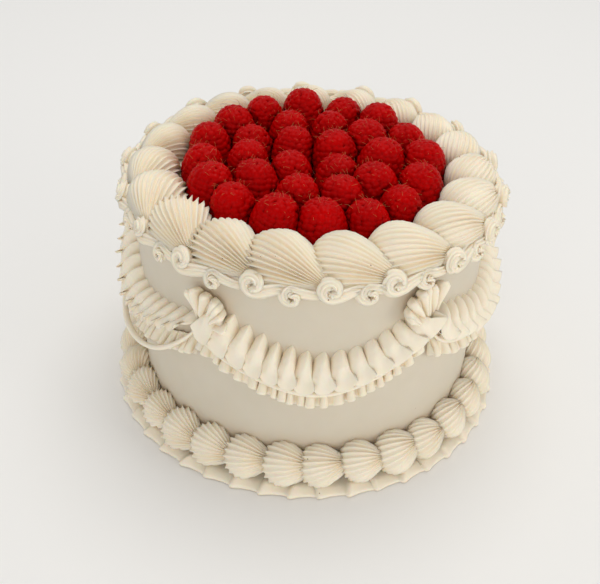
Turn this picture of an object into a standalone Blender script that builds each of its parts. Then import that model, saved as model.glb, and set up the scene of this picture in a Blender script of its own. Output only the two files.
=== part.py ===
"""Round two-layer cake, iced smooth in ivory buttercream, piped with shells, scrolls and
five swags, and topped with raspberries.

Units are metres, +Z is up and the front of the cake faces -Y. The origin is the middle of
the flat underside. An azimuth is counted from the front, counter-clockwise seen from
above, so a quarter turn is at +X.
"""

import math
import random

import bmesh
import bpy
from mathutils import Vector

# The iced cake
WALL_RADIUS = 0.0840
CAKE_HEIGHT = 0.1130
TOP_EDGE_ROUND = 0.0030
BASE_EDGE_ROUND = 0.0012
WALL_STEPS = 64
GAP = 0.00035
WALL_FACE = WALL_RADIUS + GAP
TOP_FACE = CAKE_HEIGHT + GAP

# The border of large shells on the top, piped larger and farther apart at the front
TOP_SHELLS = 19
TOP_SHELL_FIRST = math.radians(4.4)
TOP_SPREAD = math.radians(16.5)
TOP_FRONT_SWELL = 0.20
TOP_CREST_RADIUS = 0.0750
TOP_INNER_REACH = 0.0122
TOP_OUTER_REACH = 0.0116
TOP_SHELL_RISE = 0.0147
TOP_RIDGE_DEPTH = 0.0021
TOP_ARC_POINTS = 11

# The rope of scrolls just under them
SCROLLS = 18
SCROLL_FIRST = math.radians(4.9)
SCROLL_RADIUS = 0.0868
SCROLL_HEIGHT = 0.1131
SCROLL_WAVE = 0.0024
SCROLL_DEPTH = 0.0033
SCROLL_TALL = 0.0048
SCROLL_NOTCH = 0.0006
SCROLL_CORNERS = (-125, -70, -25, 20, 62, 125)
SCROLL_STEPS = 4

# The slope on which the shells' outer feet meet the scrolls
SEAT_RADIUS = 0.0810
SEAT_SLOPE = 1.09

# The five swags
SWAGS = 5
SWAG_FIRST = math.radians(-34.0)
SWAG_PITCH = 2 * math.pi / SWAGS
GARLAND_END_CLEARANCE = math.radians(7.0)
STRING_END_CLEARANCE = math.radians(0.6)
GARLAND_TOP_LOW = 0.0765
GARLAND_TOP_RISE = 0.0140
GARLAND_BOTTOM_LOW = 0.0615
GARLAND_BOTTOM_RISE = 0.0185
SWAG_POWER = 1.7
GARLAND_REACH = 0.0122
GARLAND_FOLDS = 14
GARLAND_FOLD_DEPTH = 0.0040
GARLAND_LEAN = 0.30

STRING_RADIUS = 0.0013
STRING_PATH_RADIUS = 0.0890
STRING_LOW = 0.0570
STRING_RISE = 0.0205
STRING_STEPS = 10
STRING_SIDES = 4

RUFFLE_TOP_LOW = 0.0560
RUFFLE_TALL = 0.0080
RUFFLE_FOLDS = 14
RUFFLE_REACH = 0.0056
RUFFLE_FOLD_DEPTH = 0.0032

# The fan of petals where two swags meet
FAN_FOLDS = 5
FAN_FOOT = 0.0792
FAN_TALL = 0.0262
FAN_HALF_WIDTH = 0.0098
FAN_DROOP = 0.14
FAN_REACH = 0.0112
FAN_FOLD_DEPTH = 0.0032

# The border of shells round the foot, and the pleated ribbon under it
BASE_SHELLS = 32
BASE_SHELL_FIRST = math.radians(1.9)
BASE_SHELL_REACH = 0.0124
BASE_SHELL_RISE = 0.0172
BASE_RIDGE_DEPTH = 0.0018
BASE_ARC_POINTS = 7

RIBBON_THICK = 0.0030
RIBBON_EDGE_THICK = 0.0014
RIBBON_RADIUS = 0.0985
RIBBON_SCALLOP = 0.0018
RIBBON_INNER_REACH = 0.0105
RIBBON_FOLDS = 44

# The raspberries
BERRY_RADIUS = 0.0090
BERRY_TALL = 0.0190
BERRY_SIDES = 8
BERRY_BUMP = 0.00065
BERRY_POOL_RADIUS = 0.0618
BERRY_POOL_BACK = 0.0015
BERRY_SETTLE_ROUNDS = 600
# Up a berry, the share of its height and the share of its width there
BERRY_ROWS = ((0.0, 0.86), (0.22, 1.0), (0.50, 0.92), (0.75, 0.70), (0.93, 0.38))

TAU = 2 * math.pi


def clear_scene():
    for thing in list(bpy.data.objects):
        bpy.data.objects.remove(thing, do_unlink=True)


def make_material(name, colour, roughness):
    material = bpy.data.materials.new(name)
    material.use_nodes = True
    shader = material.node_tree.nodes["Principled BSDF"]
    shader.inputs["Base Color"].default_value = (*colour, 1.0)
    shader.inputs["Roughness"].default_value = roughness
    shader.inputs["Metallic"].default_value = 0.0
    material.diffuse_color = (*colour, 1.0)
    return material


def place(azimuth, radius, height):
    return Vector((radius * math.sin(azimuth), -radius * math.cos(azimuth), height))


def finish(name, mesh_data, material, smooth):
    bmesh.ops.recalc_face_normals(mesh_data, faces=mesh_data.faces)
    if mesh_data.calc_volume(signed=True) < 0:
        bmesh.ops.reverse_faces(mesh_data, faces=mesh_data.faces)
    mesh = bpy.data.meshes.new(name)
    mesh_data.to_mesh(mesh)
    mesh_data.free()
    mesh.materials.append(material)
    for polygon in mesh.polygons:
        polygon.use_smooth = smooth
    thing = bpy.data.objects.new(name, mesh)
    bpy.context.collection.objects.link(thing)
    return thing


def piped_solid(name, sections, material, joined_ends):
    """One closed solid from a row of closed cross-sections of equal length.

    With joined_ends the last section runs on into the first, as in a ring."""
    shape = bmesh.new()
    loops = [[shape.verts.new(point) for point in section] for section in sections]
    count = len(loops)
    size = len(loops[0])
    last = count if joined_ends else count - 1
    for station in range(last):
        here = loops[station]
        there = loops[(station + 1) % count]
        for side in range(size):
            following = (side + 1) % size
            shape.faces.new((here[side], here[following], there[following], there[side]))
    if not joined_ends:
        shape.faces.new(loops[0])
        shape.faces.new(loops[-1])
    return finish(name, shape, material, True)


def blend(points, position):
    """Reads a smooth height from (position, value) pairs."""
    for (low, low_value), (high, high_value) in zip(points, points[1:]):
        if position <= high:
            share = (position - low) / (high - low)
            return low_value + (high_value - low_value) * share
    return points[-1][1]


# Along a shell, from its head (0) to the end of its tail (1), the share of its full size
SHELL_SWELL = ((0.0, 0.44), (0.05, 0.76), (0.14, 0.93), (0.27, 1.0), (0.42, 0.97),
               (0.58, 0.86), (0.75, 0.68), (0.90, 0.51), (1.0, 0.44))
TAIL_SHARE = 0.44
TOP_STATIONS = (0.0, 0.07, 0.22, 0.40, 0.58, 0.76, 0.92)
BASE_STATIONS = (0.0, 0.10, 0.36, 0.70)


def rounded_head(along, across, pitch):
    """The head bulges over the tail before it: a shift in azimuth, largest at the crest."""
    front = max(0.0, 1.0 - along / 0.45) ** 2
    back = max(0.0, (along - 0.72) / 0.28) ** 2
    return pitch * (0.06 - 0.20 * across) * max(front, back)


def build_cake(icing):
    middle_of_round = 0.3 * TOP_EDGE_ROUND
    profile = [(0.0, 0.0), (WALL_RADIUS - BASE_EDGE_ROUND, 0.0), (WALL_RADIUS, BASE_EDGE_ROUND),
               (WALL_RADIUS, CAKE_HEIGHT - TOP_EDGE_ROUND),
               (WALL_RADIUS - middle_of_round, CAKE_HEIGHT - middle_of_round),
               (WALL_RADIUS - TOP_EDGE_ROUND, CAKE_HEIGHT), (0.0, CAKE_HEIGHT)]
    shape = bmesh.new()
    outline = [shape.verts.new((radius, 0.0, height)) for radius, height in profile]
    for low, high in zip(outline, outline[1:]):
        shape.edges.new((low, high))
    bmesh.ops.spin(shape, geom=shape.verts[:] + shape.edges[:], cent=(0, 0, 0), axis=(0, 0, 1),
                   angle=TAU, steps=WALL_STEPS, use_merge=True)
    bmesh.ops.remove_doubles(shape, verts=shape.verts, dist=1e-6)
    return finish("cake_body", shape, icing, False)


def spread_shells(azimuth):
    """Draws the top shells together at the back and apart at the front."""
    return azimuth + TOP_SPREAD * math.sin(azimuth)


def build_top_shells(icing):
    chooser = random.Random(19)
    pitch = TAU / TOP_SHELLS
    sections = []
    for shell in range(TOP_SHELLS):
        size = 1.0 + chooser.uniform(-0.05, 0.03)
        start = TOP_SHELL_FIRST + pitch * shell + chooser.uniform(-0.05, 0.05) * pitch
        for along in TOP_STATIONS:
            larger = 1.0 + TOP_FRONT_SWELL * math.cos(start + pitch * along)
            swell = blend(SHELL_SWELL, along)
            headness = (swell - TAIL_SHARE) / (1.0 - TAIL_SHARE)
            full = swell * (size if headness > 0 else 1.0)
            inner = TOP_CREST_RADIUS - TOP_INNER_REACH * (0.42 + 0.58 * full) * larger
            outer = TOP_CREST_RADIUS + TOP_OUTER_REACH * (0.66 + 0.34 * full)
            outer_foot = TOP_FACE + SEAT_SLOPE * (outer - SEAT_RADIUS)
            rise = TOP_SHELL_RISE * full * larger - (outer_foot - TOP_FACE) / 2
            foot = spread_shells(start + pitch * along + rounded_head(along, 0, pitch))
            section = [place(foot, SEAT_RADIUS, TOP_FACE)]
            for step in range(TOP_ARC_POINTS):
                across = step / (TOP_ARC_POINTS - 1)
                turn = math.pi * across
                lift = math.sin(turn) ** 0.8 if 0 < across < 1 else 0.0
                ridge = 0.0
                if 0 < across < 1:
                    tooth = 0.5 if step % 2 else -0.5
                    ridge = TOP_RIDGE_DEPTH * (0.30 + 0.70 * headness) * tooth
                middle = (inner + outer) / 2
                half = (outer - inner) / 2
                radius = middle + (half + ridge) * math.cos(turn)
                height = outer_foot + (TOP_FACE - outer_foot) * across
                height += (rise + ridge) * lift
                shift = rounded_head(along, math.sin(turn), pitch)
                azimuth = spread_shells(start + pitch * along + shift)
                section.append(place(azimuth, radius, height))
            sections.append(section)
    return piped_solid("top_shell_border", sections, icing, True)


def build_scrolls(icing):
    pitch = TAU / SCROLLS
    sections = []
    for step in range(SCROLLS * SCROLL_STEPS):
        share = step / SCROLL_STEPS
        azimuth = SCROLL_FIRST + share * pitch
        wave = math.cos(TAU * share)
        curl = abs(wave) ** 1.5
        middle = SCROLL_HEIGHT + SCROLL_WAVE * wave
        notch = SCROLL_NOTCH * (1 if step % 2 else -1)
        depth = SCROLL_DEPTH * (0.72 + 0.35 * curl) + notch
        tall = SCROLL_TALL * (0.80 + 0.12 * curl)
        section = []
        for corner in SCROLL_CORNERS:
            turn = math.radians(corner)
            radius = SCROLL_RADIUS + depth * math.cos(turn)
            height = middle + tall * math.sin(turn)
            radius = max(radius, WALL_FACE)
            seat = TOP_FACE + SEAT_SLOPE * (radius - SEAT_RADIUS) - 0.0006
            height = min(height, seat)
            section.append(place(azimuth, radius, height))
        sections.append(section)
    return piped_solid("scroll_border", sections, icing, True)


def swag_middle(index):
    return SWAG_FIRST + SWAG_PITCH * (index + 0.5)


def swag_reach(share, clearance):
    """Azimuth from a swag's middle, for a share of -1 to 1 along it."""
    return share * (SWAG_PITCH / 2 - clearance)


def build_garland(index, icing):
    """Upright petal folds that lean away from the swag's middle."""
    chooser = random.Random(40 + index)
    stations = 2 * GARLAND_FOLDS
    sections = []
    for station in range(stations + 1):
        share = 2 * station / stations - 1
        high = station % 2
        top = GARLAND_TOP_LOW + GARLAND_TOP_RISE * abs(share) ** SWAG_POWER
        bottom = GARLAND_BOTTOM_LOW + GARLAND_BOTTOM_RISE * abs(share) ** SWAG_POWER
        reach = GARLAND_REACH - (0.0 if high else GARLAND_FOLD_DEPTH)
        reach += chooser.uniform(-0.0006, 0.0004)
        edge = 0.0012 * high + chooser.uniform(-0.0004, 0.0004)
        middle = swag_middle(index) + swag_reach(share, GARLAND_END_CLEARANCE)
        tall = top - bottom
        section = []
        for depth, level in ((0.0, 1.0), (0.46, 1.0), (1.0, 0.42), (0.90, 0.03), (0.0, 0.10)):
            lean = GARLAND_LEAN * share * (level - 0.5) * tall / WALL_RADIUS
            height = bottom + tall * level
            if depth == 0.46:
                height += edge
            if depth == 0.90:
                height += 0.0006 - edge * 0.5
            section.append(place(middle + lean, WALL_FACE + reach * depth, height))
        sections.append(section)
    return piped_solid(f"garland_{index + 1}", sections, icing, False)


def build_string(index, icing):
    """The smooth cord of icing that hangs along the garland's lower edge."""
    sections = []
    for station in range(STRING_STEPS + 1):
        share = 2 * station / STRING_STEPS - 1
        middle = swag_middle(index) + swag_reach(share, STRING_END_CLEARANCE)
        height = STRING_LOW + STRING_RISE * abs(share) ** SWAG_POWER
        section = []
        for side in range(STRING_SIDES):
            turn = TAU * (side + 0.5) / STRING_SIDES
            section.append(place(middle, STRING_PATH_RADIUS + STRING_RADIUS * math.cos(turn),
                                 height + STRING_RADIUS * math.sin(turn)))
        sections.append(section)
    return piped_solid(f"string_{index + 1}", sections, icing, False)


def build_ruffle(index, icing):
    """The narrow gathered frill that shows below the string."""
    chooser = random.Random(70 + index)
    stations = 2 * RUFFLE_FOLDS
    sections = []
    for station in range(stations + 1):
        share = 2 * station / stations - 1
        high = station % 2
        top = RUFFLE_TOP_LOW + STRING_RISE * abs(share) ** SWAG_POWER
        bottom = top - RUFFLE_TALL - chooser.uniform(-0.0005, 0.0009)
        reach = RUFFLE_REACH - (0.0 if high else RUFFLE_FOLD_DEPTH)
        reach += chooser.uniform(-0.0004, 0.0004)
        middle = swag_middle(index) + swag_reach(share, STRING_END_CLEARANCE)
        section = [place(middle, WALL_FACE, top + 0.0016),
                   place(middle, WALL_FACE + 0.0021, top + 0.0012),
                   place(middle, WALL_FACE + reach, bottom),
                   place(middle, WALL_FACE, bottom + 0.0010)]
        sections.append(section)
    return piped_solid(f"ruffle_{index + 1}", sections, icing, False)


def build_fan(index, icing):
    """Petal folds that spread upwards from the place where two swags meet."""
    columns = 2 * FAN_FOLDS
    middle = SWAG_FIRST + SWAG_PITCH * index
    rows = ((0.0, 0.38, 1.0), (0.50, 0.40, 1.0), (0.68, 0.86, 0.96), (0.86, 1.0, 0.78),
            (1.0, 0.86, 0.30))
    sections = []
    for column in range(columns + 1):
        across = 2 * column / columns - 1
        high = column % 2
        front = []
        back = []
        for level, width, depth in rows:
            half = FAN_HALF_WIDTH * width
            lowering = FAN_DROOP * across * across * level
            height = FAN_FOOT + FAN_TALL * (level - lowering)
            height += 0.0009 * high * level
            fold = FAN_FOLD_DEPTH * (0.0 if high else 1.0) * (0.4 + 0.6 * level)
            reach = (FAN_REACH - fold) * depth * (1.0 - 0.35 * across * across)
            azimuth = middle + across * half / WALL_RADIUS
            front.append(place(azimuth, WALL_FACE + reach, height))
            if level in (0.0, 1.0):
                back.append(place(azimuth, WALL_FACE, height))
        sections.append(front + back[::-1])
    return piped_solid(f"fan_{index + 1}", sections, icing, False)


def build_base_shells(icing):
    chooser = random.Random(27)
    pitch = TAU / BASE_SHELLS
    floor = RIBBON_THICK + GAP
    sections = []
    for shell in range(BASE_SHELLS):
        size = 1.0 + chooser.uniform(-0.06, 0.03)
        start = BASE_SHELL_FIRST + pitch * shell + chooser.uniform(-0.04, 0.04) * pitch
        for along in BASE_STATIONS:
            swell = blend(SHELL_SWELL, along)
            headness = (swell - TAIL_SHARE) / (1.0 - TAIL_SHARE)
            full = swell * (size if headness > 0 else 1.0)
            section = [place(start + pitch * along + rounded_head(along, 0, pitch),
                             WALL_FACE, floor)]
            for step in range(BASE_ARC_POINTS):
                turn = math.pi / 2 * step / (BASE_ARC_POINTS - 1)
                ridge = BASE_RIDGE_DEPTH * (0.3 + 0.7 * headness) * (0.5 if step % 2 else -0.5)
                reach = BASE_SHELL_REACH * (0.25 + 0.75 * full) + ridge
                rise = BASE_SHELL_RISE * full + ridge
                radius = WALL_FACE + reach * math.cos(turn) ** 0.8
                height = floor + rise * math.sin(turn) ** 0.8
                if step == BASE_ARC_POINTS - 1:
                    radius = WALL_FACE
                shift = rounded_head(along, math.sin(2 * turn), pitch)
                section.append(place(start + pitch * along + shift, radius, height))
            sections.append(section)
    return piped_solid("base_shell_border", sections, icing, True)


def build_ribbon(icing):
    """The pleated ribbon of icing under the base shells, with its scalloped edge outside."""
    pitch = TAU / RIBBON_FOLDS
    sections = []
    for step in range(2 * RIBBON_FOLDS):
        azimuth = step * pitch / 2
        edge = RIBBON_RADIUS + (RIBBON_SCALLOP if step % 2 else -0.6 * RIBBON_SCALLOP)
        sections.append([place(azimuth, WALL_FACE, 0.0),
                         place(azimuth, edge, 0.0),
                         place(azimuth, edge - 0.0006, RIBBON_EDGE_THICK),
                         place(azimuth, WALL_FACE + RIBBON_INNER_REACH, RIBBON_THICK),
                         place(azimuth, WALL_FACE, RIBBON_THICK)])
    return piped_solid("base_ribbon", sections, icing, True)


def berry_places():
    """Three loose rings of berries, as read from the photograph, pushed apart until none
    touches its neighbours. Each place is (x, y, size)."""
    chooser = random.Random(30)
    places = []
    for berry in range(15):
        places.append((math.radians(108 + 22.9 * berry), 0.0515))
    for berry in range(10):
        bend = 4 + 13 * math.cos(math.radians(36 * (berry - 2.8)))
        places.append((math.radians(-14 + 36 * berry + bend), 0.0345))
    for berry in range(5):
        places.append((math.radians(-28 + 72 * berry), 0.0160))
    spots = [[radius * math.sin(azimuth), -radius * math.cos(azimuth),
              1.0 + chooser.uniform(-0.04, 0.05)] for azimuth, radius in places]
    for settle in range(BERRY_SETTLE_ROUNDS):
        for first in range(len(spots)):
            for second in range(first):
                one = spots[first]
                two = spots[second]
                apart = Vector((one[0] - two[0], one[1] - two[1]))
                room = (BERRY_RADIUS + BERRY_BUMP) * (one[2] + two[2]) + 2 * GAP
                if apart.length < room:
                    push = apart.normalized() * (room - apart.length) / 2
                    one[0] += push.x
                    one[1] += push.y
                    two[0] -= push.x
                    two[1] -= push.y
        for spot in spots:
            reach = BERRY_POOL_RADIUS - (BERRY_RADIUS + BERRY_BUMP) * spot[2]
            distance = math.hypot(spot[0], spot[1] - BERRY_POOL_BACK)
            if distance > reach:
                spot[0] *= reach / distance
                spot[1] = BERRY_POOL_BACK + (spot[1] - BERRY_POOL_BACK) * reach / distance
    return spots


def build_berry(number, spot, red):
    """A raspberry stood on its open end, its drupelets as staggered bumps."""
    x, y, size = spot
    chooser = random.Random(100 + number)
    tall = BERRY_TALL * size * chooser.uniform(0.95, 1.05)
    turned = chooser.uniform(0, TAU)
    shape = bmesh.new()
    rings = []
    for row, (level, width) in enumerate(BERRY_ROWS):
        ring = []
        for side in range(BERRY_SIDES):
            azimuth = turned + TAU * (side + 0.5 * (row % 2)) / BERRY_SIDES
            bump = BERRY_BUMP if (side + row) % 2 else -BERRY_BUMP
            radius = (BERRY_RADIUS * width + bump) * size
            ring.append(shape.verts.new((x + radius * math.cos(azimuth),
                                         y + radius * math.sin(azimuth),
                                         TOP_FACE + tall * level)))
        rings.append(ring)
    for row, (lower, upper) in enumerate(zip(rings, rings[1:])):
        for side in range(BERRY_SIDES):
            following = (side + 1) % BERRY_SIDES
            if row % 2:
                shape.faces.new((lower[side], lower[following], upper[following]))
                shape.faces.new((lower[side], upper[following], upper[side]))
            else:
                shape.faces.new((lower[side], lower[following], upper[side]))
                shape.faces.new((lower[following], upper[following], upper[side]))
    shape.faces.new(rings[0])
    tip = shape.verts.new((x, y, TOP_FACE + tall))
    for side in range(BERRY_SIDES):
        shape.faces.new((rings[-1][side], rings[-1][(side + 1) % BERRY_SIDES], tip))
    return finish(f"raspberry_{number:02d}", shape, red, True)


def main():
    clear_scene()
    icing = make_material("ivory_buttercream", (0.83, 0.74, 0.60), 0.55)
    piping = make_material("piped_buttercream", (0.86, 0.78, 0.65), 0.55)
    red = make_material("raspberry_flesh", (0.42, 0.008, 0.012), 0.40)
    build_cake(icing)
    build_top_shells(piping)
    build_scrolls(piping)
    for index in range(SWAGS):
        build_garland(index, piping)
        build_string(index, piping)
        build_ruffle(index, piping)
        build_fan(index, piping)
    build_base_shells(piping)
    build_ribbon(piping)
    for number, spot in enumerate(berry_places(), start=1):
        build_berry(number, spot, red)


main()
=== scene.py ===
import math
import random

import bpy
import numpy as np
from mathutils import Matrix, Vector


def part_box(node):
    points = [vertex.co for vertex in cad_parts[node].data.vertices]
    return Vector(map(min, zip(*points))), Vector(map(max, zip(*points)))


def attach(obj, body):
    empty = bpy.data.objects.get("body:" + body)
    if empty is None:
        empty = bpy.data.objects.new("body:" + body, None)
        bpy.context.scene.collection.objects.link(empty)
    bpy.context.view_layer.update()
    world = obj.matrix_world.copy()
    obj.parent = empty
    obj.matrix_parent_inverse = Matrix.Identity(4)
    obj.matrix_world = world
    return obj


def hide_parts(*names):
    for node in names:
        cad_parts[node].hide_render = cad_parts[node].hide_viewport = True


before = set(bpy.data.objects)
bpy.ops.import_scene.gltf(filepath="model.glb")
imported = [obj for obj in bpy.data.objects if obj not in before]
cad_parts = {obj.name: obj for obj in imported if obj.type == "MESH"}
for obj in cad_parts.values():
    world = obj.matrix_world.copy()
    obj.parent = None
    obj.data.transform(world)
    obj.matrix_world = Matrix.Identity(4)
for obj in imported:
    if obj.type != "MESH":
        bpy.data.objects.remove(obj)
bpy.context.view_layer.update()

# %% [markdown]
# # A piped buttercream cake
#
# A tall round cake is scraped smooth with ivory buttercream. Star tips make its two borders
# of shells and the rope of scrolls, petal tips make the swags, the fans and the frills, and
# the top is filled with raspberries stood on end.
#
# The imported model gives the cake's wall and top and the place and size of every berry, and the
# piping is laid on that wall and top. Each piece is modelled here again in full detail, in
# metres, around the cake's own axis. The front of the cake faces -Y.

body_low, body_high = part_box("cake_body")

MM = 0.001
WALL = (body_high[0] - body_low[0]) / 2
TOP = body_high[2]
print("wall radius %.1f mm, top %.1f mm up" % (WALL / MM, TOP / MM))

# %% [markdown]
# Buttercream that leaves a tip is a long soft ridge that is swept along the hand's path. By
# hand in Blender that is a grid that is rolled up and pulled into shape, so every piped piece
# starts as a flat grid primitive. A function says where each corner of the grid goes, the
# corners that meet are merged, and that closes the surface.

# %% A grid that is rolled up into a closed shape
MERGE = 0.000002


def smooth(low, high, value):
    share = np.clip((value - low) / (high - low), 0.0, 1.0)
    return share * share * (3.0 - 2.0 * share)


def on_cake(azimuth, radius, height):
    """Points from an azimuth counted from the front, counter-clockwise seen from above."""
    return np.stack([radius * np.sin(azimuth), -radius * np.cos(azimuth),
                     height + 0.0 * azimuth], axis=-1)


def rolled_grid(name, across, along, place):
    """place(u, v) gets two arrays from 0 to 1 and returns the points in metres."""
    bpy.ops.object.select_all(action="DESELECT")
    bpy.ops.mesh.primitive_grid_add(x_subdivisions=across, y_subdivisions=along, size=2)
    piece = bpy.context.object
    piece.name = name
    piece.data.name = name
    v, u = np.meshgrid(np.linspace(0, 1, along + 1), np.linspace(0, 1, across + 1),
                       indexing="ij")
    piece.data.vertices.foreach_set("co", place(u, v).reshape(-1).astype(np.float32))
    bpy.ops.object.mode_set(mode="EDIT")
    bpy.ops.mesh.select_all(action="SELECT")
    bpy.ops.mesh.remove_doubles(threshold=MERGE)
    bpy.ops.mesh.normals_make_consistent(inside=False)
    bpy.ops.object.mode_set(mode="OBJECT")
    bpy.ops.object.shade_smooth()
    return piece


def joined(name, pieces):
    bpy.ops.object.select_all(action="DESELECT")
    for piece in pieces:
        piece.select_set(True)
    bpy.context.view_layer.objects.active = pieces[0]
    bpy.ops.object.join()
    pieces[0].name = name
    pieces[0].data.name = name
    print(name, len(pieces[0].data.polygons), "faces")
    return pieces[0]


def surface_normals(points):
    """Normals of a grid of points, from its own two directions."""
    along_u = np.gradient(points, axis=1)
    along_v = np.gradient(points, axis=0)
    along_u[:, 0] = points[:, 1] - points[:, -2]
    along_u[:, -1] = along_u[:, 0]
    normal = np.cross(along_u, along_v)
    length = np.linalg.norm(normal, axis=-1, keepdims=True)
    return normal / np.maximum(length, 1e-12)


def dress(piece, slot, finish, *nodes):
    """Gives a piece its finish, lets it ride on the model and stand for its nodes."""
    piece.data.materials.clear()
    piece.data.materials.append(finish)
    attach(piece, "root")
    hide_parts(*nodes)


# %% [markdown]
# ## Finishes
#
# Buttercream is butter whipped with sugar: an ivory, satin, slightly translucent fat, so light
# goes a little way in and softens every edge. Scraped smooth it has faint cloudy marks; piped
# it has tiny air bubbles that burst into pits, with painted brown shade in each pit, and its
# grooves get painted warm shade.

# %% Colours and nodes
def colour(code, alpha=1.0):
    """An sRGB hex colour as linear numbers."""
    channels = [int(code[k:k + 2], 16) / 255 for k in (1, 3, 5)]
    linear = [c / 12.92 if c <= 0.04045 else ((c + 0.055) / 1.055) ** 2.4 for c in channels]
    return (*linear, alpha)


def add_node(tree, kind, settings=None, inputs=None, links=None):
    """Adds a node, with its own settings, the values of its inputs and what feeds them."""
    node = tree.nodes.new(kind)
    for key, value in (settings or {}).items():
        setattr(node, key, value)
    for key, value in (inputs or {}).items():
        node.inputs[key].default_value = value
    for key, source in (links or {}).items():
        tree.links.new(source, node.inputs[key])
    return node


def new_material(name):
    material = bpy.data.materials.new(name)
    material.use_nodes = True
    tree = material.node_tree
    return material, tree, tree.nodes["Principled BSDF"]


# %% Buttercream
PIT_SPACING = 7.5 * MM
# Painted shade: the brown put inside each burst-bubble pit
PIT_SHADE_BROWN = "#8a6037"


def buttercream(name, pale, deep, painted_shade_colour, painted_shade_reach, pits, cloud_size, cloud_bump):
    """pale and deep are the ends of its cloudy colour, hollow is the painted warm shade colour
    that is mixed in where ambient occlusion finds grooves and nearby piping, and glow is how far
    that occlusion looks."""
    material, tree, shader = new_material(name)
    coordinates = add_node(tree, "ShaderNodeTexCoord").outputs["Object"]
    clouds = add_node(tree, "ShaderNodeTexNoise", None,
                      {"Scale": 1 / cloud_size, "Detail": 4.0, "Roughness": 0.55},
                      {"Vector": coordinates})
    cloudy = add_node(tree, "ShaderNodeMix", {"data_type": "RGBA"},
                      {6: colour(pale), 7: colour(deep)}, {0: clouds.outputs["Fac"]})
    # A pit is a burst bubble, half a millimetre wide, and only the share called pits is kept; it
    # is sunk by the bump and given painted brown shade
    bubbles = add_node(tree, "ShaderNodeTexVoronoi", {"feature": "F1"},
                       {"Scale": 1 / PIT_SPACING}, {"Vector": coordinates})
    pit = add_node(tree, "ShaderNodeMapRange", {"clamp": True},
                   {"From Min": 0.030, "From Max": 0.055, "To Min": 1.0, "To Max": 0.0},
                   {"Value": bubbles.outputs["Distance"]})
    chosen = add_node(tree, "ShaderNodeSeparateColor", None, None,
                      {"Color": bubbles.outputs["Color"]})
    kept = add_node(tree, "ShaderNodeMath", {"operation": "LESS_THAN"}, {1: pits},
                    {0: chosen.outputs[0]})
    pitted = add_node(tree, "ShaderNodeMath", {"operation": "MULTIPLY"}, None,
                      {0: pit.outputs[0], 1: kept.outputs[0]})
    # Painted shade: where ambient occlusion is low, in grooves and beside other piping, the
    # colour is mixed towards a warm shade colour
    grooves = add_node(tree, "ShaderNodeAmbientOcclusion", {"samples": 8},
                       {"Distance": painted_shade_reach})
    groove_shade_share = add_node(tree, "ShaderNodeMapRange", {"clamp": True},
                        {"From Min": 0.10, "From Max": 0.80, "To Min": 0.22, "To Max": 0.0},
                        {"Value": grooves.outputs["AO"]})
    shaded = add_node(tree, "ShaderNodeMix", {"data_type": "RGBA"}, {7: colour(painted_shade_colour)},
                      {0: groove_shade_share.outputs[0], 6: cloudy.outputs[2]})
    # Painted shade: the pits are mixed towards the brown shade colour
    final = add_node(tree, "ShaderNodeMix", {"data_type": "RGBA"}, {7: colour(PIT_SHADE_BROWN)},
                     {0: pitted.outputs[0], 6: shaded.outputs[2]})
    tree.links.new(final.outputs[2], shader.inputs["Base Color"])
    shader.inputs["Roughness"].default_value = 0.50
    shader.inputs["IOR"].default_value = 1.45
    shader.inputs["Specular IOR Level"].default_value = 0.35
    shader.inputs["Subsurface Weight"].default_value = 0.30
    shader.inputs["Subsurface Radius"].default_value = (1.0, 0.62, 0.35)
    shader.inputs["Subsurface Scale"].default_value = 1.4 * MM
    grain = add_node(tree, "ShaderNodeTexNoise", None,
                     {"Scale": 1 / (0.9 * MM), "Detail": 3.0}, {"Vector": coordinates})
    relief = add_node(tree, "ShaderNodeMath", {"operation": "MULTIPLY_ADD"}, {1: cloud_bump},
                      {0: clouds.outputs["Fac"], 2: grain.outputs["Fac"]})
    sunk = add_node(tree, "ShaderNodeMath", {"operation": "MULTIPLY_ADD"}, {1: -6.0},
                    {0: pitted.outputs[0], 2: relief.outputs[0]})
    bump = add_node(tree, "ShaderNodeBump", None, {"Strength": 0.25, "Distance": 0.10 * MM},
                    {"Height": sunk.outputs[0]})
    tree.links.new(bump.outputs["Normal"], shader.inputs["Normal"])
    return material


# Painted shade and light: one ivory buttercream in two copies, a darker one on the scraped wall
# and a lighter one on the piping, standing in for how light falls on them
shaded_smooth_icing = buttercream("shaded_scraped_buttercream", "#dad1bf", "#d3c9b5", "#dcae7c", 14 * MM,
                           0.05, 14 * MM, 2.0)
lit_piped_icing = buttercream("piped_buttercream", "#f9f0dd", "#f5e9d3", "#e8c48e", 3 * MM,
                          0.30, 9 * MM, 1.0)
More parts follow.
